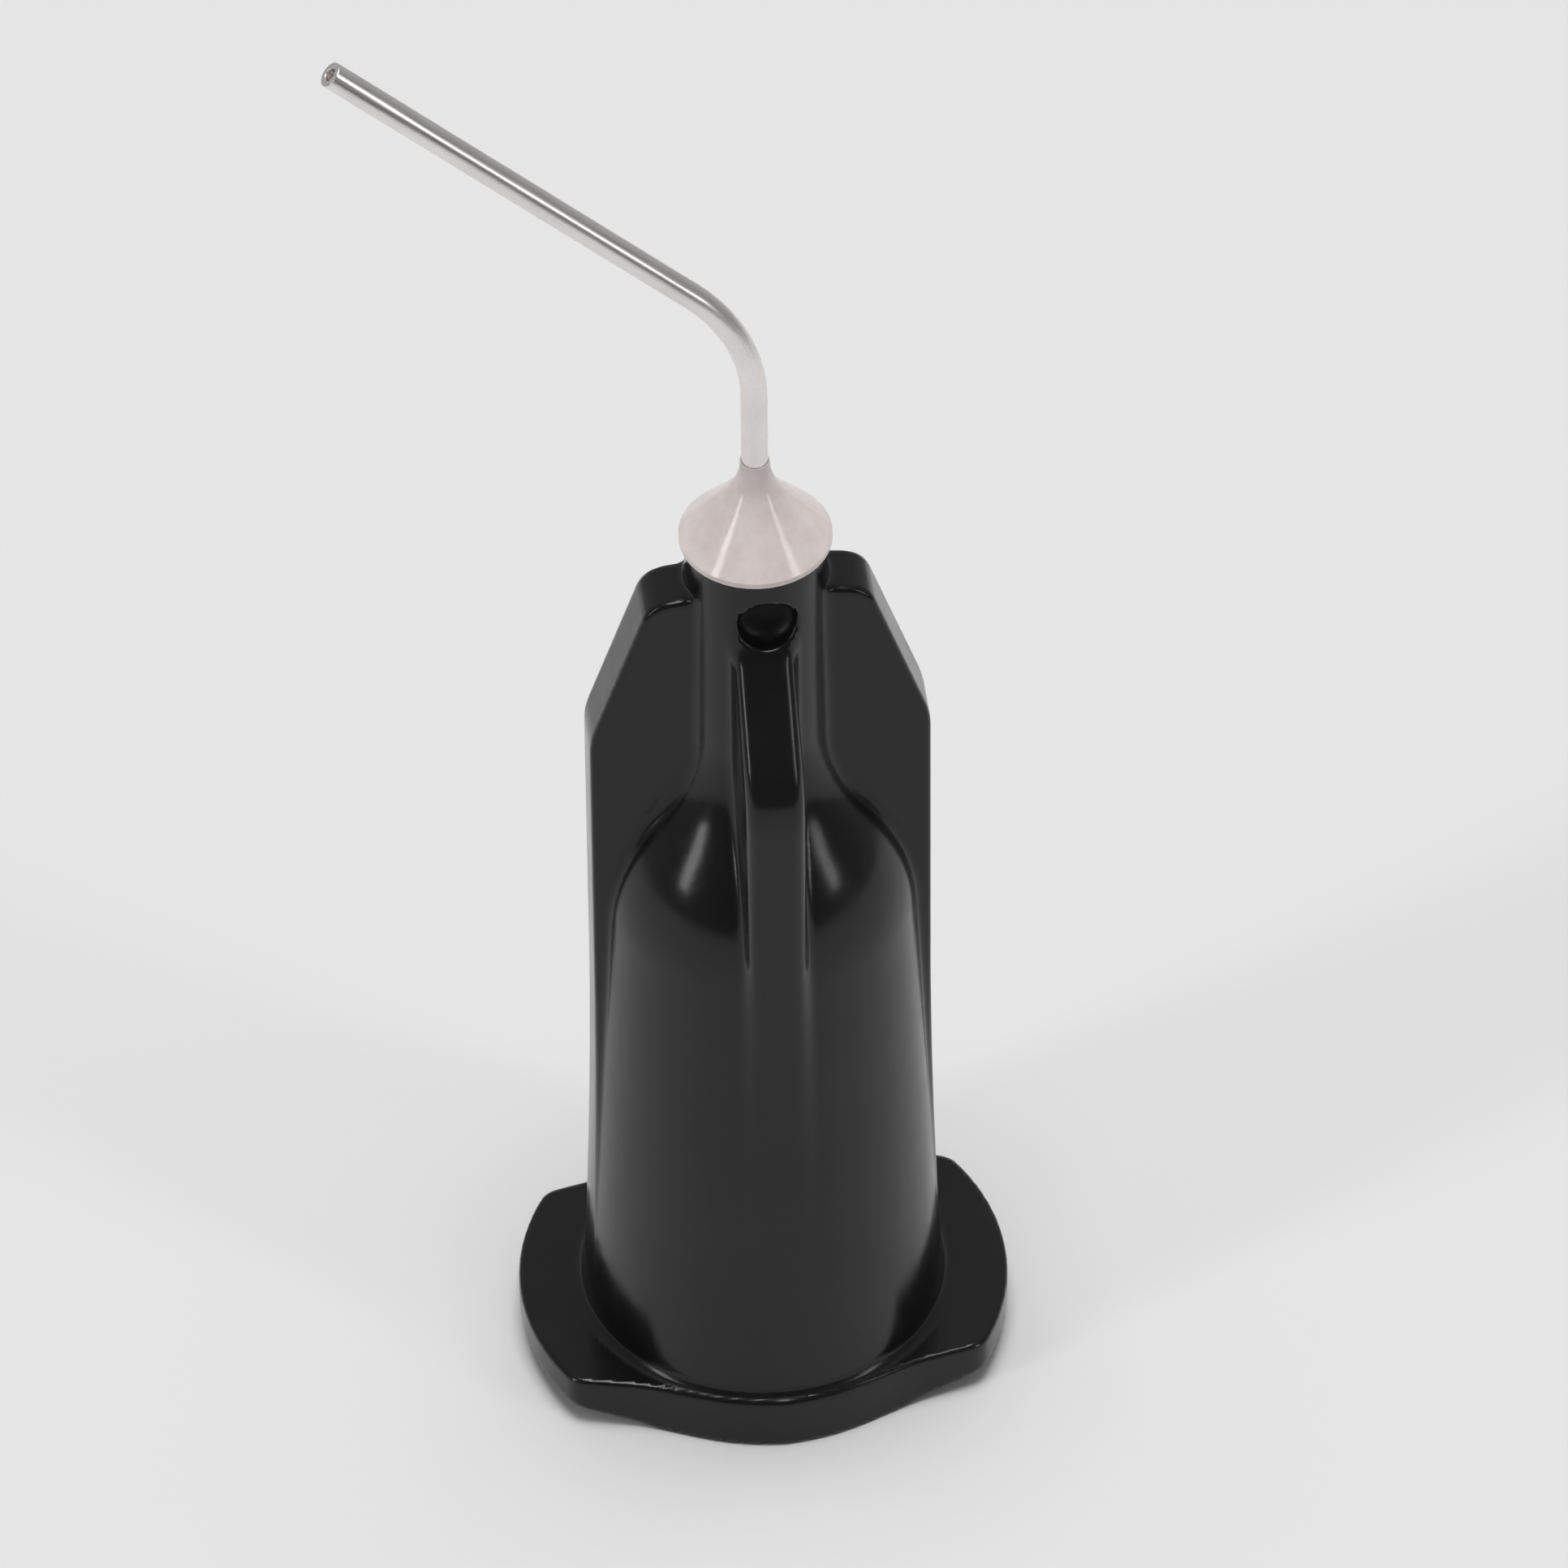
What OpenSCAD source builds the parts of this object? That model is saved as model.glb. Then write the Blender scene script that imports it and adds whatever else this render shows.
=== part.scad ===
// Bent dispensing needle tip: moulded hub with a tapered socket and two lugs,
// a stainless cannula bent to one side, and the adhesive cone that bonds them.
// Millimetres, +Z up. The origin is the centre of the socket mouth.

/* [Part] */
// Which node to draw: all, hub, adhesive_cone or cannula

/* [Flange and lugs] */
// Height of the flange above the mouth face
flange_height = 0.95; // [0.8:0.05:1.3]
// Radius of the round collar between the lugs
collar_radius = 3; // [2.95:0.05:3.2]
// Radius over the two lugs
lug_radius = 3.9; // [3.7:0.05:4]
// Distance from the axis to the straight side of a lug
lug_side_distance = 2.78; // [2.6:0.02:2.86]
// Angle by which each lug side leans toward its wing
lug_side_angle = 13; // [5:1:20]
// Rounding of the outer corners of a lug
lug_corner_radius = 0.14; // [0.08:0.02:0.3]
// Height of the lead-in slope under the lug rim
lug_lead_height = 0.36; // [0.1:0.02:0.5]

/* [Socket] */
// Diameter of the tapered socket at its mouth
socket_diameter = 4.3; // [4.27:0.005:4.32]
// Diameter lost per millimetre of depth in the socket
socket_taper = 0.06; // [0.06:0.001:0.061]
// Depth of the tapered socket
socket_depth = 8.4; // [7.5:0.1:8.6]
// Lead-in chamfer at the mouth
mouth_chamfer = 0.12; // [0.05:0.01:0.2]
// Height of the funnel above the socket
funnel_height = 1.9; // [1.5:0.1:2.1]

/* [Barrel and shoulder] */
// Barrel radius just above the flange
barrel_base_radius = 2.84; // [2.78:0.02:2.9]
// Barrel radius where the taper steepens
barrel_mid_radius = 2.63; // [2.56:0.01:2.68]
// Height where the taper steepens
barrel_mid_height = 7.4; // [6.8:0.1:8]
// Barrel radius at the shoulder
shoulder_radius = 2.43; // [2.36:0.01:2.48]
// Height of the shoulder edge
shoulder_height = 10.6; // [10.4:0.1:10.9]
// Height where the shoulder cone reaches the stem
stem_base_height = 12.4; // [12.2:0.1:12.8]
// Fillet between barrel and flange
base_fillet = 0.4; // [0.2:0.05:0.5]
// Rounding of the shoulder edge
shoulder_round = 0.5; // [0.2:0.05:0.7]
// Fillet between shoulder and stem
stem_fillet = 0.7; // [0.3:0.05:0.9]

/* [Stem] */
// Stem radius at the shoulder
stem_base_radius = 1.14; // [1.08:0.02:1.2]
// Stem radius at the top
stem_top_radius = 1.08; // [1.04:0.02:1.14]
// Height of the stem top
stem_height = 17; // [16.8:0.1:17.4]
// Radius of the adhesive well in the stem top
well_radius = 0.44; // [0.36:0.02:0.5]
// Depth of the adhesive well
well_depth = 0.9; // [0.6:0.1:1.2]
// Length of the cannula held in the stem below the well
seat_length = 4.4; // [3:0.2:4.8]
// Radius of the passage below the cannula
passage_radius = 0.16; // [0.13:0.01:0.18]
// Radius of the round gate pocket in the stem front
gate_radius = 0.44; // [0.3:0.02:0.48]
// Height of the gate pocket centre
gate_height = 16.17; // [16:0.05:16.3]
// Distance from the axis to the floor of the gate pocket
gate_floor = 0.72; // [0.66:0.02:0.9]

/* [Wings and ribs] */
// Thickness of the two side wings
wing_thickness = 0.94; // [0.7:0.02:1.1]
// Half of the width over the side wings
wing_reach = 2.65; // [2.56:0.01:2.7]
// Height where the wing bevel starts
wing_bevel_height = 13.3; // [12.8:0.1:13.8]
// Distance from the axis to the upper end of the wing bevel
wing_top_reach = 1.7; // [1.5:0.05:1.9]
// Height of the upper end of the wing bevel
wing_top_height = 16.1; // [15.8:0.05:16.3]
// Rise of the wing top from its outer end to the axis
wing_top_rise = 0.22; // [0.1:0.02:0.3]
// Rounding of the upper wing corner
wing_corner_radius = 0.35; // [0.1:0.05:0.45]
// Thickness of the front and back ribs
rib_thickness = 0.94; // [0.7:0.02:1.1]
// Distance from the axis to the outer face of a rib
rib_reach = 2.6; // [2.5:0.02:2.64]
// Height where the rib slope starts
rib_slope_height = 13.85; // [13.4:0.05:14.2]
// Height where the rib slope reaches the stem
rib_top_height = 15.65; // [15.4:0.05:15.7]
// Rounding of the wing and rib edges
edge_radius = 0.13; // [0.06:0.01:0.2]

/* [Cannula] */
// Outer diameter of the cannula, 27 gauge
cannula_diameter = 0.41; // [0.4:0.01:0.52]
// Bore of the cannula
cannula_bore = 0.21; // [0.16:0.01:0.25]
// Angle between the bent leg and the axis
bend_angle = 45; // [20:5:60]
// Centreline radius of the bend
bend_radius = 3; // [2:0.25:3.5]
// Height where the bend starts
bend_start = 20; // [19.4:0.1:21]
// Length of the straight leg after the bend
leg_length = 7.45; // [5:0.05:12]

/* [Adhesive cone] */
// Rim radius of the cone
cone_radius = 1.18; // [1.16:0.01:1.24]
// Height of the straight edge of the rim
rim_height = 0.09; // [0.06:0.01:0.14]
// Angle of the cone face above the horizontal
cone_angle = 49; // [44:1:52]
// Radius of the flare that runs up the cannula
flare_radius = 1.1; // [0.6:0.1:1.2]
// Gap left round the cannula for a clean fit
fit_gap = 0.005; // [0.004:0.001:0.01]

/* [Hidden] */
$fn = 96;
overrun = 1;
wing_foot = 5.5;
thin_edge = 0.02;
// The leg laps the end of the bend a little and is a hair thicker there
leg_lap = 0.02;
leg_step = 0.002;

// Lug plan: straight side through first and second tangent points of the corner
lug_normal = [sin(lug_side_angle), cos(lug_side_angle)];
lug_along = [cos(lug_side_angle), -sin(lug_side_angle)];
lug_centre_out = lug_side_distance - lug_corner_radius;
lug_centre_run = sqrt(pow(lug_radius - lug_corner_radius, 2) - pow(lug_centre_out, 2));
lug_centre = lug_centre_out * lug_normal + lug_centre_run * lug_along;
lug_side_point = lug_centre + lug_corner_radius * lug_normal;
lug_rim_point = lug_centre * lug_radius / (lug_radius - lug_corner_radius);
lug_root = lug_side_distance / cos(lug_side_angle);

// Body profile: turns at the shoulder edge and at the foot of the stem
barrel_lean = atan((barrel_mid_radius - shoulder_radius) / (shoulder_height - barrel_mid_height));
shoulder_lean = atan((shoulder_radius - stem_base_radius) / (stem_base_height - shoulder_height));
shoulder_turn = shoulder_lean - barrel_lean;
shoulder_run = shoulder_round * tan(shoulder_turn / 2);
shoulder_low = [shoulder_radius + shoulder_run * sin(barrel_lean),
                shoulder_height - shoulder_run * cos(barrel_lean)];
shoulder_high = [shoulder_radius - shoulder_run * sin(shoulder_lean),
                 shoulder_height + shoulder_run * cos(shoulder_lean)];
shoulder_centre = [shoulder_low[0] - shoulder_round * cos(barrel_lean),
                   shoulder_low[1] - shoulder_round * sin(barrel_lean)];
stem_lean = atan((stem_base_radius - stem_top_radius) / (stem_height - stem_base_height));
stem_turn = shoulder_lean - stem_lean;
stem_run = stem_fillet * tan(stem_turn / 2);
foot_low = [stem_base_radius + stem_run * sin(shoulder_lean),
            stem_base_height - stem_run * cos(shoulder_lean)];
foot_high = [stem_base_radius - stem_run * sin(stem_lean),
             stem_base_height + stem_run * cos(stem_lean)];
foot_centre = [foot_high[0] + stem_fillet * cos(stem_lean),
               foot_high[1] + stem_fillet * sin(stem_lean)];
base_lean = atan((barrel_base_radius - barrel_mid_radius) / (barrel_mid_height - flange_height));
base_run = base_fillet * tan((90 - base_lean) / 2);
base_high = [barrel_base_radius - base_run * sin(base_lean),
             flange_height + base_run * cos(base_lean)];
base_centre = [barrel_base_radius + base_run, flange_height + base_fillet];

// Socket and passage heights
socket_top_radius = (socket_diameter - socket_taper * socket_depth) / 2;
well_floor = stem_height - well_depth;
seat_floor = well_floor - seat_length;
seat_radius = cannula_diameter / 2 + fit_gap;

// Wing profile: rounded upper corner
wing_bevel_lean = atan((wing_reach - wing_top_reach) / (wing_top_height - wing_bevel_height));
wing_top_lean = atan(wing_top_rise / wing_top_reach);
wing_turn = 90 - wing_bevel_lean - wing_top_lean;
wing_run = wing_corner_radius * tan(wing_turn / 2);
wing_low = [wing_top_reach + wing_run * sin(wing_bevel_lean),
            wing_top_height - wing_run * cos(wing_bevel_lean)];
wing_high = [wing_top_reach - wing_run * cos(wing_top_lean),
             wing_top_height + wing_run * sin(wing_top_lean)];
wing_centre = [wing_low[0] - wing_corner_radius * cos(wing_bevel_lean),
               wing_low[1] - wing_corner_radius * sin(wing_bevel_lean)];

// Adhesive cone profile: straight face, then a flare tangent to the cannula
cone_foot = stem_height + rim_height;
flare_edge = cannula_diameter / 2 + fit_gap + thin_edge;
cone_crossing = cone_foot + (cone_radius - flare_edge) * tan(cone_angle);
flare_run = flare_radius * tan((90 - cone_angle) / 2);
flare_low = [flare_edge + flare_run * cos(cone_angle), cone_crossing - flare_run * sin(cone_angle)];
flare_high = [flare_edge, cone_crossing + flare_run];
flare_centre = [flare_edge + flare_radius, cone_crossing + flare_run];

// Plan outline of the lug on the +X side
module lug_plan() {
    intersection() {
        circle(r = lug_radius);
        polygon([
            [0, lug_root],
            lug_side_point,
            lug_rim_point,
            [lug_radius + overrun, lug_rim_point[1]],
            [lug_radius + overrun, -lug_rim_point[1]],
            [lug_rim_point[0], -lug_rim_point[1]],
            [lug_side_point[0], -lug_side_point[1]],
            [0, -lug_root]
        ]);
    }
    translate(lug_centre) circle(r = lug_corner_radius);
    translate([lug_centre[0], -lug_centre[1]]) circle(r = lug_corner_radius);
}

// Two lugs with a lead-in slope below their rims
module lugs() {
    intersection() {
        linear_extrude(height = flange_height) {
            lug_plan();
            mirror([1, 0]) lug_plan();
        }
        union() {
            cylinder(h = lug_lead_height, r1 = collar_radius, r2 = lug_radius + fit_gap);
            translate([0, 0, lug_lead_height])
                cylinder(h = flange_height, r = lug_radius + fit_gap);
        }
    }
}

// Collar, barrel, shoulder and stem as one turned shape
module body() {
    rotate_extrude() {
        difference() {
            union() {
                polygon([
                    [0, 0],
                    [collar_radius, 0],
                    [collar_radius, flange_height],
                    [base_centre[0], flange_height],
                    base_high,
                    [barrel_mid_radius, barrel_mid_height],
                    shoulder_low,
                    shoulder_high,
                    foot_low,
                    foot_high,
                    [stem_top_radius, stem_height],
                    [0, stem_height]
                ]);
                translate(shoulder_centre) circle(r = shoulder_round);
            }
            translate(base_centre) circle(r = base_fillet);
            translate(foot_centre) circle(r = stem_fillet);
            translate([collar_radius, 0]) square([overrun, flange_height + base_fillet]);
        }
    }
}

// Plan outline of a plate across the axis with rounded ends
module plate_plan(reach, thickness) {
    square([2 * (reach - edge_radius), thickness], center = true);
    square([2 * reach, thickness - 2 * edge_radius], center = true);
    for (side = [-1, 1]) {
        for (face = [-1, 1]) {
            translate([side * (reach - edge_radius), face * (thickness / 2 - edge_radius)])
                circle(r = edge_radius);
        }
    }
}

// Half outline of the wings seen from the front
module wing_profile() {
    polygon([
        [0, wing_foot],
        [wing_reach + overrun, wing_foot],
        [wing_reach + overrun, wing_bevel_height - overrun / tan(wing_bevel_lean)],
        wing_low,
        wing_high,
        [0, wing_top_height + wing_top_rise]
    ]);
    translate(wing_centre) circle(r = wing_corner_radius);
}

// Two wide side wings
module wings() {
    intersection() {
        translate([0, 0, wing_foot])
            linear_extrude(height = stem_height - wing_foot)
                plate_plan(wing_reach, wing_thickness);
        rotate([90, 0, 0])
            linear_extrude(height = wing_thickness + overrun, center = true) {
                wing_profile();
                mirror([1, 0]) wing_profile();
            }
    }
}

// Front and back ribs, narrower and with a sloped top
module ribs() {
    intersection() {
        translate([0, 0, wing_foot])
            linear_extrude(height = stem_height - wing_foot)
                rotate(90) plate_plan(rib_reach, rib_thickness);
        rotate([90, 0, 90])
            linear_extrude(height = rib_thickness + overrun, center = true)
                polygon([
                    [-rib_reach - overrun, wing_foot],
                    [rib_reach + overrun, wing_foot],
                    [rib_reach + overrun, rib_slope_height - rib_slope_rise()],
                    [stem_top_radius, rib_top_height],
                    [-stem_top_radius, rib_top_height],
                    [-rib_reach - overrun, rib_slope_height - rib_slope_rise()]
                ]);
    }
}

// Drop of the rib slope line over one overrun past the outer face
function rib_slope_rise() =
    overrun * (rib_top_height - rib_slope_height) / (rib_reach - stem_top_radius);

// Tapered socket, funnel, passage, cannula seat and adhesive well
module bores() {
    translate([0, 0, -overrun])
        cylinder(
            h = overrun + socket_depth,
            r1 = socket_diameter / 2 + socket_taper * overrun / 2,
            r2 = socket_top_radius
        );
    translate([0, 0, -mouth_chamfer])
        cylinder(
            h = 2 * mouth_chamfer,
            r1 = socket_diameter / 2 + 2 * mouth_chamfer,
            r2 = socket_diameter / 2
        );
    translate([0, 0, socket_depth])
        cylinder(h = funnel_height, r1 = socket_top_radius, r2 = passage_radius);
    translate([0, 0, socket_depth])
        cylinder(h = seat_floor - socket_depth, r = passage_radius);
    translate([0, 0, seat_floor])
        cylinder(h = well_floor - seat_floor, r = seat_radius);
    translate([0, 0, well_floor])
        cylinder(h = well_depth + overrun, r = well_radius);
    translate([0, -gate_floor, gate_height])
        rotate([90, 0, 0])
            cylinder(h = overrun, r = gate_radius);
}

// Moulded hub, one piece
module hub() {
    color([0.05, 0.05, 0.055])
        difference() {
            union() {
                body();
                lugs();
                wings();
                ribs();
            }
            bores();
        }
}

// Path of the cannula as a solid rod of the given radius
module cannula_rod(radius, extra) {
    translate([0, 0, seat_floor - extra])
        cylinder(h = bend_start - seat_floor + extra, r = radius);
    translate([-bend_radius, 0, bend_start])
        rotate([90, 0, 0])
            rotate_extrude(angle = bend_angle)
                translate([bend_radius, 0]) circle(r = radius);
    translate([-bend_radius, 0, bend_start])
        rotate([0, -bend_angle, 0])
            translate([bend_radius, 0, -leg_lap])
                cylinder(h = leg_lap + leg_length + extra, r = radius + leg_step);
}

// Bent stainless tube with an open lumen
module cannula() {
    color([0.75, 0.75, 0.74])
        difference() {
            cannula_rod(cannula_diameter / 2, 0);
            cannula_rod(cannula_bore / 2, overrun);
        }
}

// Cured adhesive: plug in the well, cone over the stem top, flare up the cannula
module adhesive_cone() {
    color([0.86, 0.83, 0.8])
        rotate_extrude()
            difference() {
                polygon([
                    [seat_radius, well_floor],
                    [well_radius - fit_gap, well_floor],
                    [well_radius - fit_gap, stem_height],
                    [cone_radius, stem_height],
                    [cone_radius, cone_foot],
                    flare_low,
                    flare_high,
                    [seat_radius, flare_high[1]]
                ]);
                translate(flare_centre) circle(r = flare_radius);
            }
}

hub();
adhesive_cone();
cannula();
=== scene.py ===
"""Looks for the dispensing needle tip: a black moulded hub, a bent steel cannula and the adhesive that holds it.

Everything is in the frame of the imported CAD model: +Z is up, and the flange stands on the table at Z 0.
The hub and the cannula are built here as finer skins of the CAD nodes. The hub is one smooth closed shape, made
from rounded unions and cuts of simple solids, so its edges and inner corners have the radii of a moulding.
"""

import bpy
import math
import numpy as np
from mathutils import Matrix, Vector


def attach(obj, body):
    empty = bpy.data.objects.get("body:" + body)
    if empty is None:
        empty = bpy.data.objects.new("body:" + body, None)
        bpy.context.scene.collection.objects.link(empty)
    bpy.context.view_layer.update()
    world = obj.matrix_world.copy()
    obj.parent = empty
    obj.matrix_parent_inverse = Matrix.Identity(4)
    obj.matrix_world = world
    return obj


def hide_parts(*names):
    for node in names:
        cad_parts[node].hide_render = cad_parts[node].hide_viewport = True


MM = 0.001

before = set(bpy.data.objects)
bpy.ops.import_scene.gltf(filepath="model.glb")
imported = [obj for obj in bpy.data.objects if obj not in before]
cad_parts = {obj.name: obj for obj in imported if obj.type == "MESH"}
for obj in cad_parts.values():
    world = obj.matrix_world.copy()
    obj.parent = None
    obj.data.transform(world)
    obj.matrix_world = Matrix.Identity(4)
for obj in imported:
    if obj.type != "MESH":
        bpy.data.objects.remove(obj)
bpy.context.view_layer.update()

# Camera -------------------------------------------------------------------------------------------------------------
CAMERA_AZIMUTH = math.radians(-6.467)
CAMERA_ELEVATION = math.radians(44.239)
CAMERA_ROLL = math.radians(0.519)
CAMERA_DISTANCE = 249.9 * MM
CAMERA_AIM = Vector((0, 0, 11 * MM))
CAMERA_SHIFT_RIGHT = 0.397 * MM
CAMERA_SHIFT_UP = 0.510 * MM
FRAME_WIDTH = 24.347 * MM          # the width that the picture takes in, at the aim point
SENSOR_WIDTH = 36.0


def add_camera():
    """The camera at the photograph's viewing angle, looking down at the part from its front."""
    sin_a, cos_a = math.sin(CAMERA_AZIMUTH), math.cos(CAMERA_AZIMUTH)
    sin_e, cos_e = math.sin(CAMERA_ELEVATION), math.cos(CAMERA_ELEVATION)
    back = Vector((sin_a * cos_e, -cos_a * cos_e, sin_e))
    level_right = Vector((cos_a, sin_a, 0))
    level_up = back.cross(level_right)
    right = math.cos(CAMERA_ROLL) * level_right - math.sin(CAMERA_ROLL) * level_up
    up = math.sin(CAMERA_ROLL) * level_right + math.cos(CAMERA_ROLL) * level_up
    data = bpy.data.cameras.new("camera")
    data.sensor_width = SENSOR_WIDTH
    data.lens = SENSOR_WIDTH * CAMERA_DISTANCE / FRAME_WIDTH
    data.clip_start = 10 * MM
    data.clip_end = 5.0
    camera = bpy.data.objects.new("camera", data)
    place = CAMERA_AIM + right * CAMERA_SHIFT_RIGHT + up * CAMERA_SHIFT_UP + back * CAMERA_DISTANCE
    camera.matrix_world = Matrix.Translation(place) @ Matrix((right, up, back)).transposed().to_4x4()
    bpy.context.scene.collection.objects.link(camera)
    bpy.context.scene.camera = camera


# Hub shape: signed distances in millimetres, below zero inside ------------------------------------------------------
def both(a, b, rounding):
    """Inside both shapes; the shared edge is rounded over about this many millimetres."""
    h = np.maximum(rounding - np.abs(a - b), 0)
    return np.maximum(a, b) + h * h / (4 * rounding)


def either(a, b, fillet):
    """Inside either shape; the inner corner gets a fillet of about this many millimetres."""
    return -both(-a, -b, fillet)


def cut(a, b, rounding):
    """Inside a and outside b."""
    return both(a, -b, rounding)


def slope(u, v, start, end):
    """Distance from the line through two (u, v) points, positive on its right-hand side going from start to end."""
    run, rise = end[0] - start[0], end[1] - start[1]
    return ((u - start[0]) * rise - (v - start[1]) * run) / math.hypot(run, rise)


FLANGE_TOP = 0.95
COLLAR_RADIUS = 3.0
LUG_RADIUS = 3.9
LUG_SIDE = 2.80
LUG_LEAN = math.radians(12.7)
LUG_LEAD = 0.36
BARREL = ((2.885, 0.95), (2.63, 7.4), (2.43, 10.6))      # (radius, height) where the taper changes
SHOULDER_TOP = (1.14, 12.4)
STEM_TOP = (1.09, 17.0)
SOCKET = ((2.15, 0.0), (1.898, 8.4))
FUNNEL_TOP = (0.16, 10.3)
WELL = (0.44, 16.1)
WING_HALF = 0.47
WING_REACH = 2.65
WING_BEVEL = ((2.65, 13.3), (1.7, 16.1))
WING_TOP = ((1.7, 16.1), (0.0, 16.32))
RIB_HALF = 0.47
RIB_REACH = 2.6
RIB_SLOPE = ((2.6, 13.72), (1.08, 15.65))
GATE = (16.08, 0.45, 0.74)                                # height, radius, distance from the axis to its floor
GATE_SIDE = 0.06                                          # how far the pocket sits off the middle
MOUTH_BEVEL = 0.12
MOUTH_BEVEL_DEPTH = 0.3
FUNNEL_OVERLAP = 0.1

# How far each edge is rounded over, or each inner corner filled
LUG_CORNER = 0.14
LUG_LEAD_EDGE = 0.08
PLAN_FILLET = 0.35
FLANGE_EDGE = 0.09
TAPER_BLEND = 0.3
SHOULDER_ROUND = 0.6
STEM_EDGE = 0.08
STEM_FILLET = 0.55
WING_CORNER = 0.08
WING_TOP_ROUND = 0.3
WING_EDGE = 0.1
RIB_CORNER = 0.4
RIB_EDGE = 0.28
FIN_FILLET = 0.16
BASE_FILLET = 0.2
GATE_FLOOR_ROUND = 0.25
GATE_EDGE = 0.07
BORE_EDGE = 0.05
MOUTH_BEVEL_EDGE = 0.02
WELL_FLOOR_EDGE = 0.03
UNDERSIDE_EDGE = 0.06


def flange(x, y, r, z):
    side = np.abs(x) * math.sin(LUG_LEAN) + np.abs(y) * math.cos(LUG_LEAN) - LUG_SIDE
    lug = both(side, r - LUG_RADIUS, LUG_CORNER)
    lead = slope(r, z, (COLLAR_RADIUS, 0), (LUG_RADIUS, LUG_LEAD))
    lug = both(lug, lead, LUG_LEAD_EDGE)
    plan = either(lug, r - COLLAR_RADIUS, PLAN_FILLET)
    return both(plan, z - FLANGE_TOP, FLANGE_EDGE)


def turned_body(r, z):
    lower = slope(r, z, BARREL[0], BARREL[1])
    upper = slope(r, z, BARREL[1], BARREL[2])
    shoulder = slope(r, z, BARREL[2], SHOULDER_TOP)
    barrel = both(both(lower, upper, TAPER_BLEND), shoulder, SHOULDER_ROUND)
    stem = both(slope(r, z, SHOULDER_TOP, STEM_TOP), z - STEM_TOP[1], STEM_EDGE)
    return either(barrel, stem, STEM_FILLET)


def wings(x, y, z):
    outline = both(np.abs(x) - WING_REACH, slope(np.abs(x), z, *WING_BEVEL), WING_CORNER)
    outline = both(outline, slope(np.abs(x), z, *WING_TOP), WING_TOP_ROUND)
    return both(outline, np.abs(y) - WING_HALF, WING_EDGE)


def ribs(x, y, z):
    outline = both(np.abs(y) - RIB_REACH, slope(np.abs(y), z, *RIB_SLOPE), RIB_CORNER)
    return both(outline, np.abs(x) - RIB_HALF, RIB_EDGE)


def bores(r, z):
    socket = both(slope(r, z, *SOCKET), z - SOCKET[1][1], BORE_EDGE)
    mouth = slope(r, z, (SOCKET[0][0] + MOUTH_BEVEL, 0), (SOCKET[0][0], MOUTH_BEVEL))
    socket = np.minimum(socket, both(mouth, z - MOUTH_BEVEL_DEPTH, MOUTH_BEVEL_EDGE))
    funnel = both(slope(r, z, SOCKET[1], FUNNEL_TOP), SOCKET[1][1] - FUNNEL_OVERLAP - z, BORE_EDGE)
    passage = r - FUNNEL_TOP[0]
    well = both(r - WELL[0], WELL[1] - z, WELL_FLOOR_EDGE)
    return np.minimum(np.minimum(np.minimum(socket, funnel), passage), well)


def hub_distance(x, y, z):
    r = np.sqrt(x * x + y * y)
    solid = either(turned_body(r, z), wings(x, y, z), FIN_FILLET)
    solid = either(solid, ribs(x, y, z), FIN_FILLET)
    solid = either(solid, flange(x, y, r, z), BASE_FILLET)
    gate_round = np.sqrt((x - GATE_SIDE) ** 2 + (z - GATE[0]) ** 2) - GATE[1]
    gate = both(gate_round, y + GATE[2], GATE_FLOOR_ROUND)
    solid = cut(solid, gate, GATE_EDGE)
    solid = cut(solid, bores(r, z), BORE_EDGE)
    return both(solid, -z, UNDERSIDE_EDGE)


CELL = 0.075                                              # the surface net's grid
GRID_LOW = np.array((-4.05, -3.15, -0.15))
GRID_HIGH = np.array((4.05, 3.15, 17.2))
GRADIENT_STEP = 0.004
PROJECTION_STEPS = 6
LEAST_GRADIENT = 0.3                                      # keeps the projection calm inside sharp corners


def distance_and_slope(points):
    """The hub's distance, its unit gradient and the gradient's length at each point."""
    value = hub_distance(*points.T)
    gradient = np.empty_like(points)
    for axis in range(3):
        shift = np.zeros(3)
        shift[axis] = GRADIENT_STEP
        ahead, behind = hub_distance(*(points + shift).T), hub_distance(*(points - shift).T)
        gradient[:, axis] = (ahead - behind) / (2 * GRADIENT_STEP)
    length = np.linalg.norm(gradient, axis=1, keepdims=True)
    return value, gradient / np.maximum(length, 1e-6), length[:, 0]


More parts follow.
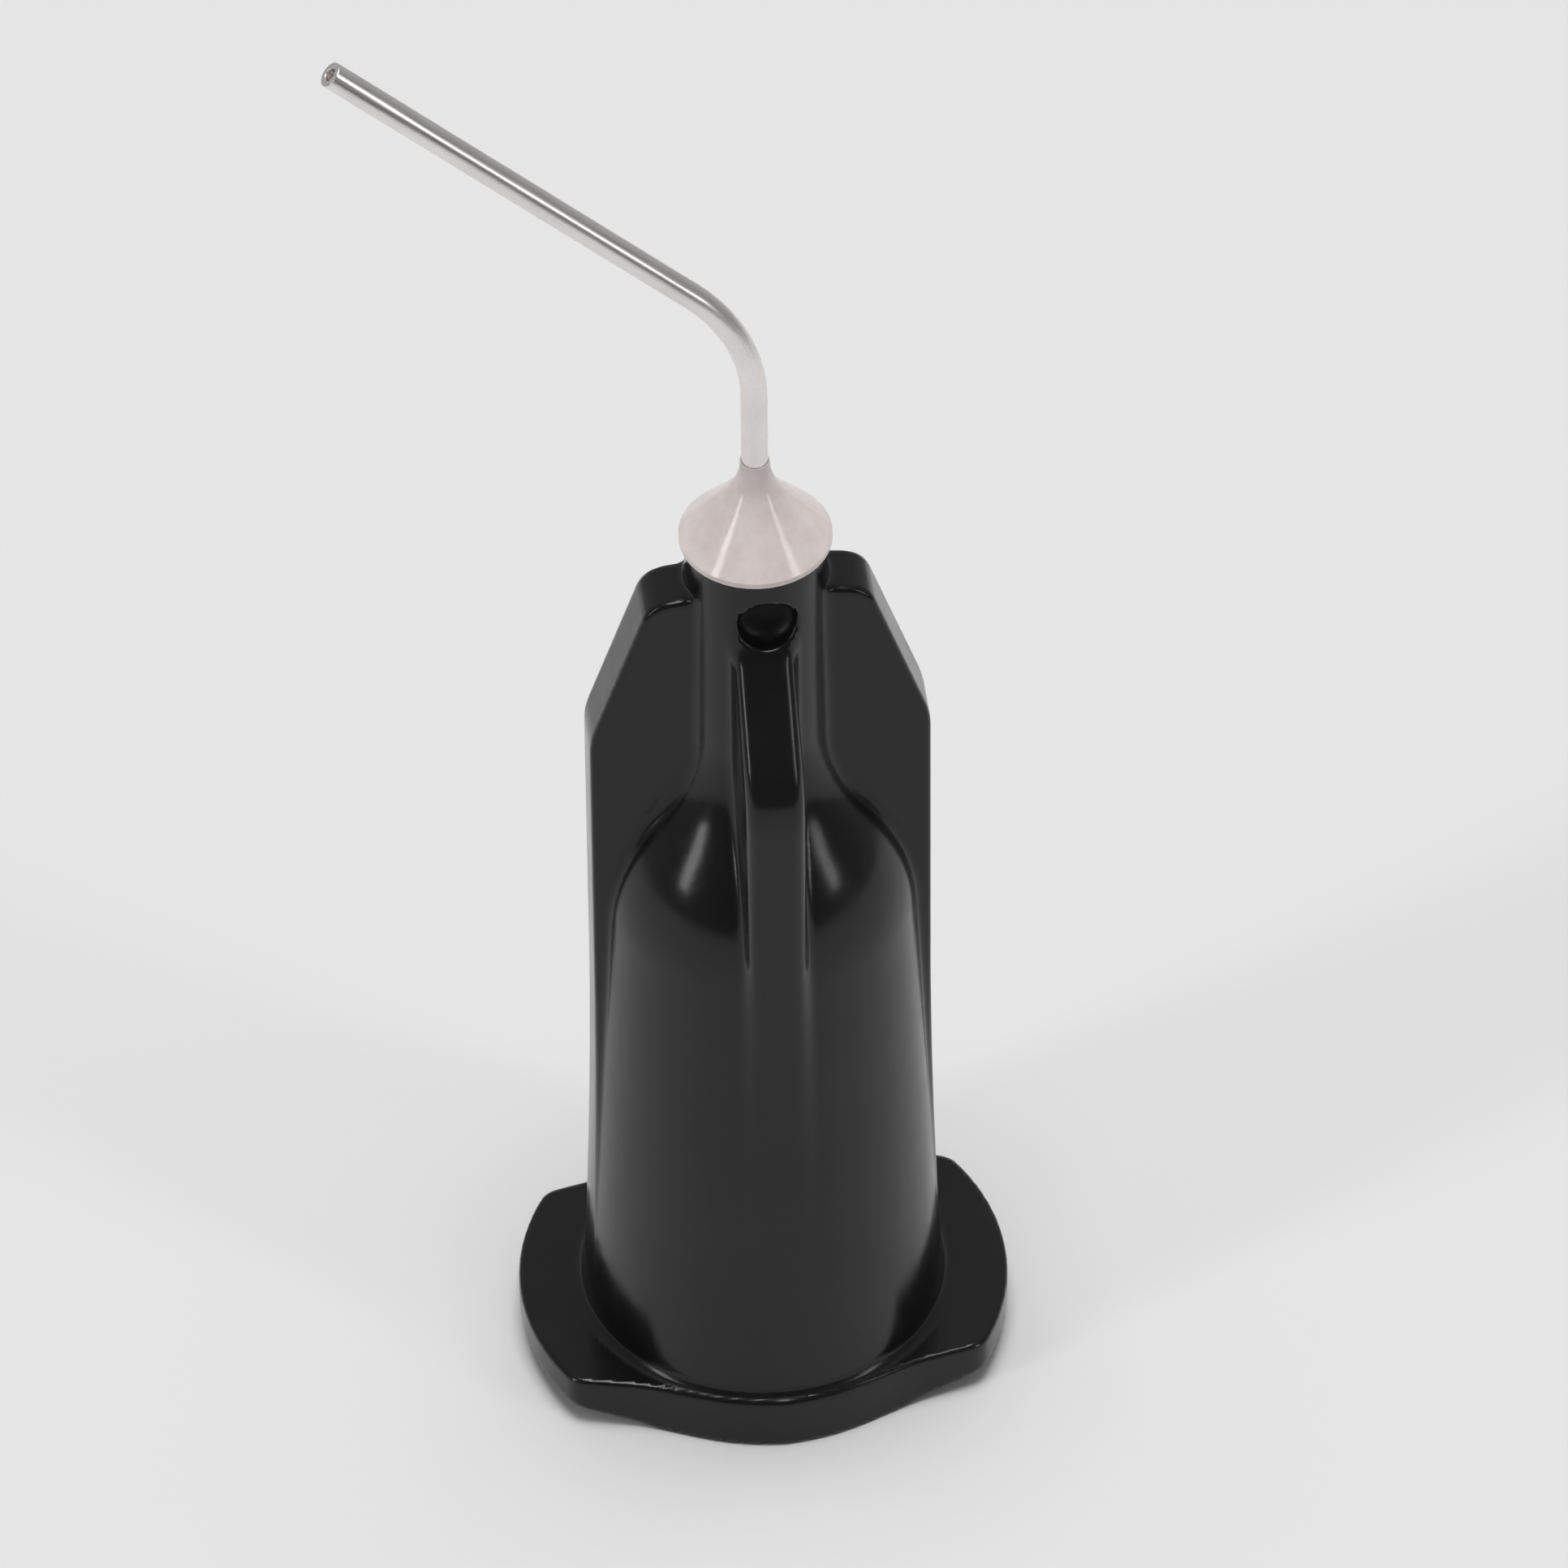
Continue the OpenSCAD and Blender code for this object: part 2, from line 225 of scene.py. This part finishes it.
def surface_net():
    """Points and quads of the hub's surface: one point in each grid cell that the surface crosses."""
    axes = [np.arange(lo, hi, CELL) for lo, hi in zip(GRID_LOW, GRID_HIGH)]
    x, y, z = np.meshgrid(*axes, indexing="ij", sparse=True)
    value = hub_distance(x + 0 * y + 0 * z, y + 0 * x + 0 * z, z + 0 * x + 0 * y)
    inside = value < 0
    cells = tuple(n - 1 for n in inside.shape)
    total = np.zeros(cells + (3,))
    count = np.zeros(cells)
    crossings = []
    for axis in range(3):
        low = [slice(None)] * 3
        high = [slice(None)] * 3
        low[axis], high[axis] = slice(0, -1), slice(1, None)
        a, b = value[tuple(low)], value[tuple(high)]
        crossed = inside[tuple(low)] != inside[tuple(high)]
        share = np.where(crossed, a / np.where(crossed, a - b, 1), 0)
        crossings.append((crossed, inside[tuple(low)]))
        others = [i for i in range(3) if i != axis]
        for du in (0, 1):
            for dv in (0, 1):
                window = [slice(0, cells[i]) for i in range(3)]
                window[others[0]] = slice(du, du + cells[others[0]])
                window[others[1]] = slice(dv, dv + cells[others[1]])
                here = crossed[tuple(window)]
                count += here
                total[..., axis] += np.where(here, share[tuple(window)], 0)
                total[..., others[0]] += here * du
                total[..., others[1]] += here * dv
    filled = count > 0
    index = np.full(cells, -1)
    index[filled] = np.arange(filled.sum())
    corner = np.argwhere(filled)
    points = GRID_LOW + CELL * (corner + total[filled] / count[filled][:, None])
    quads = []
    for axis, (crossed, starts_inside) in enumerate(crossings):
        u, v = [(1, 2), (2, 0), (0, 1)][axis]
        at = np.argwhere(crossed)
        at = at[(at[:, u] > 0) & (at[:, v] > 0) & (at[:, u] < cells[u]) & (at[:, v] < cells[v])]
        ring = []
        for du, dv in ((1, 1), (0, 1), (0, 0), (1, 0)):
            near = at.copy()
            near[:, u] -= du
            near[:, v] -= dv
            ring.append(index[tuple(near.T)])
        ring = np.stack(ring, axis=1)
        outward = starts_inside[tuple(at.T)]
        quads.append(np.where(outward[:, None], ring, ring[:, ::-1]))
    return points, np.concatenate(quads)


def build_hub():
    """The hub's skin as a mesh whose points lie exactly on the rounded shape."""
    points, quads = surface_net()
    for _ in range(PROJECTION_STEPS):
        value, direction, length = distance_and_slope(points)
        move = np.clip(value / np.maximum(length, LEAST_GRADIENT), -CELL / 2, CELL / 2)
        points = points - move[:, None] * direction
    points[:, 2] = np.maximum(points[:, 2], 0)
    _, direction, _ = distance_and_slope(points)
    return add_piece("hub_skin", points, quads, direction)


def add_piece(name, points, faces, normals=None, uvs=None):
    """A mesh object from points in millimetres, smooth shaded, riding on the part's one body."""
    mesh = bpy.data.meshes.new(name)
    mesh.from_pydata((np.asarray(points) * MM).tolist(), [], np.asarray(faces).tolist())
    mesh.polygons.foreach_set("use_smooth", [True] * len(mesh.polygons))
    if uvs is not None:
        layer = mesh.uv_layers.new(name="length_and_turn")
        corners = np.empty(len(mesh.loops), np.int32)
        mesh.loops.foreach_get("vertex_index", corners)
        layer.data.foreach_set("uv", np.asarray(uvs)[corners].ravel())
    mesh.update()
    if normals is not None:
        mesh.normals_split_custom_set_from_vertices(np.asarray(normals).tolist())
    piece = bpy.data.objects.new(name, mesh)
    bpy.context.scene.collection.objects.link(piece)
    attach(piece, "root")
    return piece


# Cannula ------------------------------------------------------------------------------------------------------------
TUBE_RADIUS = 0.205
TUBE_BORE = 0.105
TUBE_FOOT = 11.7
BEND_START = 19.9
BEND_ANGLE = math.radians(46.5)
BEND_RADIUS = 3.0
LEG_LENGTH = 7.35
TIP_ROUND = 0.022
TUBE_SIDES = 48
STRAIGHT_RINGS = (TUBE_FOOT, 17.0, 18.5, BEND_START)      # heights
BEND_RINGS = 28
LEG_RINGS = (0.34, 0.67, 1.0)                             # shares of the leg
OUTER_ROUND_STEPS = 4
INNER_ROUND_STEPS = 3


def tube_frames():
    """(distance along, centre, angle turned so far) at each ring."""
    frames = []
    for z in STRAIGHT_RINGS:
        frames.append((z - TUBE_FOOT, (0, 0, z), 0.0))
    for i in range(1, BEND_RINGS + 1):
        turn = BEND_ANGLE * i / BEND_RINGS
        centre = (-BEND_RADIUS * (1 - math.cos(turn)), 0, BEND_START + BEND_RADIUS * math.sin(turn))
        frames.append((BEND_START - TUBE_FOOT + BEND_RADIUS * turn, centre, turn))
    along_bend_end, bend_end = frames[-1][0], np.array(frames[-1][1])
    forward = np.array((-math.sin(BEND_ANGLE), 0, math.cos(BEND_ANGLE)))
    for share in LEG_RINGS:
        run = share * LEG_LENGTH
        frames.append((along_bend_end + run, tuple(bend_end + forward * run), BEND_ANGLE))
    return frames


def build_cannula():
    """A drawn tube with its lumen open at the tip and the cut edge lightly rounded."""
    frames = tube_frames()
    last = frames[-1]
    rings = [(f, TUBE_RADIUS, 0.0) for f in frames[:-1]]
    for i in range(OUTER_ROUND_STEPS + 1):
        a = math.pi / 2 * i / OUTER_ROUND_STEPS
        rings.append((last, TUBE_RADIUS - TIP_ROUND * (1 - math.cos(a)), -TIP_ROUND * (1 - math.sin(a))))
    for i in range(INNER_ROUND_STEPS + 1):
        a = math.pi / 2 * i / INNER_ROUND_STEPS
        rings.append((last, TUBE_BORE + TIP_ROUND * (1 - math.sin(a)), -TIP_ROUND * (1 - math.cos(a))))
    rings += [(f, TUBE_BORE, 0.0) for f in reversed(frames[:-1])]
    points, uvs = [], []
    for (along, centre, turn), radius, shift in rings:
        out = np.array((math.cos(turn), 0, math.sin(turn)))
        forward = np.array((-math.sin(turn), 0, math.cos(turn)))
        for k in range(TUBE_SIDES):
            a = 2 * math.pi * k / TUBE_SIDES
            around = math.cos(a) * out + math.sin(a) * np.array((0, 1, 0))
            points.append(np.array(centre) + forward * shift + around * radius)
            uvs.append((along + shift, k / TUBE_SIDES))
    faces = []
    for i in range(len(rings)):
        for k in range(TUBE_SIDES):
            j, n = (i + 1) % len(rings), (k + 1) % TUBE_SIDES
            faces.append((i * TUBE_SIDES + k, i * TUBE_SIDES + n, j * TUBE_SIDES + n, j * TUBE_SIDES + k))
    return add_piece("cannula_tube", points, faces, uvs=uvs)


# Material helpers ---------------------------------------------------------------------------------------------------
class Nodes:
    """A material with short calls for the few kinds of node that this scene uses."""

    def __init__(self, name):
        self.material = bpy.data.materials.new(name)
        self.material.use_nodes = True
        self.tree = self.material.node_tree
        self.tree.nodes.clear()
        self.out = self.add("ShaderNodeOutputMaterial")
        self.shader = self.add("ShaderNodeBsdfPrincipled")
        self.link(self.shader.outputs["BSDF"], self.out.inputs["Surface"])

    def add(self, kind, **settings):
        node = self.tree.nodes.new(kind)
        for key, value in settings.items():
            setattr(node, key, value)
        return node

    def link(self, source, target):
        self.tree.links.new(source, target)

    def put(self, node, **values):
        """Sets a node's sockets by name, with _ for a space, each to a number, a colour or another socket's output."""
        for key, value in values.items():
            socket = node.inputs[key.replace("_", " ")]
            if isinstance(value, bpy.types.NodeSocket):
                self.link(value, socket)
            else:
                socket.default_value = value
        return node

    def millimetres(self, stretch=(1, 1, 1)):
        """The place on the object in millimetres, times a stretch along each axis."""
        coords = self.add("ShaderNodeTexCoord")
        scaled = self.add("ShaderNodeVectorMath", operation="MULTIPLY")
        self.link(coords.outputs["Object"], scaled.inputs[0])
        scaled.inputs[1].default_value = [s / MM for s in stretch]
        return scaled.outputs[0]

    def noise(self, place, scale, detail=3.0, roughness=0.5):
        node = self.add("ShaderNodeTexNoise")
        self.put(node, Vector=place, Scale=scale, Detail=detail, Roughness=roughness)
        return node.outputs["Fac"]

    def remap(self, value, low, high, to_low, to_high):
        node = self.add("ShaderNodeMapRange", clamp=True)
        self.put(node, Value=value, From_Min=low, From_Max=high, To_Min=to_low, To_Max=to_high)
        return node.outputs["Result"]

    def larger(self, a, b):
        node = self.add("ShaderNodeMath", operation="MAXIMUM")
        self.link(a, node.inputs[0])
        self.link(b, node.inputs[1])
        return node.outputs[0]

    def ramp(self, value, stops):
        """A colour ramp; stops are (place, colour)."""
        node = self.add("ShaderNodeValToRGB")
        self.link(value, node.inputs[0])
        elements = node.color_ramp.elements
        while len(elements) < len(stops):
            elements.new(0.5)
        for element, (at, colour) in zip(elements, stops):
            element.position = at
            element.color = (*colour, 1)
        return node.outputs["Color"]

    def bump(self, height, strength, distance, normal=None):
        node = self.add("ShaderNodeBump")
        self.put(node, Height=height, Strength=strength, Distance=distance)
        if normal is not None:
            self.link(normal, node.inputs["Normal"])
        return node.outputs["Normal"]


# Materials ----------------------------------------------------------------------------------------------------------
PLASTIC_DARK = (0.0050, 0.0048, 0.0051)
PLASTIC_LIGHT = (0.0078, 0.0074, 0.0076)
STEEL_DARK = (0.74, 0.715, 0.70)
STEEL_LIGHT = (0.83, 0.805, 0.79)
ADHESIVE_DARK = (0.66, 0.575, 0.555)
ADHESIVE_LIGHT = (0.76, 0.68, 0.665)
RESIN_IOR = 1.5                                           # of the plastic and of the adhesive
PLASTIC_SPECULAR = 0.33
PLASTIC_GLOSS = (0.15, 0.25)                              # roughness where it is clean, and where it is rubbed
TORN_ROUGHNESS = 0.75
STEEL_GLOSS = (0.22, 0.36)
ADHESIVE_GLOSS = (0.10, 0.18)


def gate_torn(m, place):
    """Roughness of the torn plastic at the bottom of the gate pocket, and none elsewhere."""
    away = m.add("ShaderNodeVectorMath", operation="DISTANCE")
    m.link(place, away.inputs[0])
    away.inputs[1].default_value = (GATE_SIDE, -GATE[2] - 0.15, GATE[0])
    return m.remap(away.outputs["Value"], GATE[1] - 0.12, GATE[1] + 0.08, TORN_ROUGHNESS, 0.0)


def plastic_material():
    """Glossy black moulded plastic: a faint waviness, a fine grain, and rubbed patches that shine a little less."""
    m = Nodes("black_moulded_plastic")
    place = m.millimetres()
    cloud = m.noise(place, 0.45, detail=4)
    colour = m.ramp(cloud, [(0.35, PLASTIC_DARK), (0.7, PLASTIC_LIGHT)])
    rubbed = m.noise(m.millimetres((1, 1, 0.35)), 2.2, detail=6, roughness=0.65)
    roughness = m.remap(rubbed, 0.35, 0.75, *PLASTIC_GLOSS)
    wavy = m.bump(m.noise(place, 1.1, detail=2), 0.25, 0.02 * MM)
    grain = m.bump(m.noise(place, 16.0, detail=4), 0.3, 0.002 * MM, wavy)
    roughness = m.larger(roughness, gate_torn(m, place))
    m.put(m.shader, Base_Color=colour, Roughness=roughness, Normal=grain, IOR=RESIN_IOR,
          Specular_IOR_Level=PLASTIC_SPECULAR)
    return m.material


def steel_material():
    """Drawn stainless tube: fine lines along its length."""
    m = Nodes("drawn_stainless_steel")
    place = m.millimetres()
    cloud = m.noise(place, 1.3, detail=4)
    colour = m.ramp(cloud, [(0.3, STEEL_DARK), (0.75, STEEL_LIGHT)])
    lengthwise = m.add("ShaderNodeUVMap", uv_map="length_and_turn")
    stretched = m.add("ShaderNodeVectorMath", operation="MULTIPLY")
    m.link(lengthwise.outputs[0], stretched.inputs[0])
    stretched.inputs[1].default_value = (0.6, 60.0, 1.0)
    lines = m.noise(stretched.outputs[0], 1.0, detail=3)
    roughness = m.remap(lines, 0.3, 0.7, *STEEL_GLOSS)
    fine = m.bump(lines, 0.2, 0.003 * MM)
    m.put(m.shader, Base_Color=colour, Metallic=1.0, Roughness=roughness, Normal=fine)
    return m.material


def adhesive_material():
    """Cured adhesive: milky, slightly warm, with a wet gloss and faint clouding."""
    m = Nodes("milky_adhesive")
    place = m.millimetres()
    cloud = m.noise(place, 2.4, detail=5, roughness=0.6)
    colour = m.ramp(cloud, [(0.3, ADHESIVE_DARK), (0.7, ADHESIVE_LIGHT)])
    roughness = m.remap(m.noise(place, 5.0, detail=4), 0.3, 0.7, *ADHESIVE_GLOSS)
    wavy = m.bump(m.noise(place, 3.0, detail=2), 0.25, 0.015 * MM)
    m.put(m.shader, Base_Color=colour, Roughness=roughness, Normal=wavy, IOR=RESIN_IOR,
          Subsurface_Weight=0.2, Subsurface_Radius=(1.0, 0.7, 0.6), Subsurface_Scale=0.3 * MM)
    return m.material


def dress(piece, material):
    """Puts the material in every slot of a piece."""
    if not piece.data.materials:
        piece.data.materials.append(material)
    for slot in piece.material_slots:
        slot.material = material


hub_skin = build_hub()
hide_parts("hub")
cannula_tube = build_cannula()
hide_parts("cannula")
dress(hub_skin, plastic_material())
dress(cannula_tube, steel_material())
dress(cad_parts["adhesive_cone"], adhesive_material())

# Stage --------------------------------------------------------------------------------------------------------------
FLOOR_RADIUS = 70 * MM
FLOOR_COLOUR = (0.74, 0.74, 0.74, 1)
FLOOR_SIDES = 96
BACKGROUND = (0.86, 0.86, 0.86, 1)
LAMP_DISTANCE = 0.6
LAMPS = (                                                 # name, azimuth, elevation, width, height, watts
    ("strip_left", -66, 22, 0.09, 0.40, 0.75),
    ("strip_right", 54, 22, 0.09, 0.40, 0.5),
    ("overhead", 0, 89, 0.30, 0.30, 2.7),
)
WORLD_SPAN = (-0.75, 0.85)                                # from the front to behind, where the light changes
WORLD_LIGHT = (0.14, 0.42)                                # its strength at the two ends


def add_floor():
    """A plain pale round table top. It is small, so that the hub's sloped faces mirror the dim room beyond it."""
    mesh = bpy.data.meshes.new("floor")
    turns = [2 * math.pi * k / FLOOR_SIDES for k in range(FLOOR_SIDES)]
    rim = [(FLOOR_RADIUS * math.cos(t), FLOOR_RADIUS * math.sin(t), 0) for t in turns]
    mesh.from_pydata(rim, [], [tuple(range(FLOOR_SIDES))])
    floor = bpy.data.objects.new("floor", mesh)
    bpy.context.scene.collection.objects.link(floor)
    m = Nodes("pale_table")
    m.put(m.shader, Base_Color=FLOOR_COLOUR, Roughness=0.7)
    mesh.materials.append(m.material)


def add_lamp(name, azimuth, elevation, width, height, strength):
    """A soft rectangular lamp that looks at the part."""
    a, e = math.radians(azimuth), math.radians(elevation)
    back = Vector((math.sin(a) * math.cos(e), -math.cos(a) * math.cos(e), math.sin(e)))
    data = bpy.data.lights.new(name, "AREA")
    data.shape = "RECTANGLE"
    data.size = width
    data.size_y = height
    data.energy = strength
    lamp = bpy.data.objects.new(name, data)
    lamp.location = CAMERA_AIM + back * LAMP_DISTANCE
    lamp.rotation_mode = "QUATERNION"
    lamp.rotation_quaternion = (-back).to_track_quat("-Z", "Y")
    bpy.context.scene.collection.objects.link(lamp)


def add_world():
    """Soft light, dim from the front and brighter from behind, which the camera sees as a pale background."""
    world = bpy.data.worlds.new("world")
    bpy.context.scene.world = world
    world.use_nodes = True
    tree = world.node_tree
    tree.nodes.clear()
    link = tree.links.new
    out = tree.nodes.new("ShaderNodeOutputWorld")
    coords = tree.nodes.new("ShaderNodeTexCoord")
    parts = tree.nodes.new("ShaderNodeSeparateXYZ")
    link(coords.outputs["Generated"], parts.inputs[0])
    shade = tree.nodes.new("ShaderNodeMapRange")
    shade.interpolation_type = "SMOOTHSTEP"
    shade.inputs["From Min"].default_value, shade.inputs["From Max"].default_value = WORLD_SPAN
    shade.inputs["To Min"].default_value, shade.inputs["To Max"].default_value = WORLD_LIGHT
    link(parts.outputs["Y"], shade.inputs["Value"])
    light = tree.nodes.new("ShaderNodeBackground")
    light.inputs["Color"].default_value = (1, 1, 1, 1)
    link(shade.outputs["Result"], light.inputs["Strength"])
    seen = tree.nodes.new("ShaderNodeBackground")
    seen.inputs["Color"].default_value = BACKGROUND
    path = tree.nodes.new("ShaderNodeLightPath")
    mix = tree.nodes.new("ShaderNodeMixShader")
    link(path.outputs["Is Camera Ray"], mix.inputs[0])
    link(light.outputs[0], mix.inputs[1])
    link(seen.outputs[0], mix.inputs[2])
    link(mix.outputs[0], out.inputs["Surface"])


add_camera()
add_floor()
add_world()
for lamp in LAMPS:
    add_lamp(*lamp)

bpy.context.scene.view_settings.view_transform = "Standard"
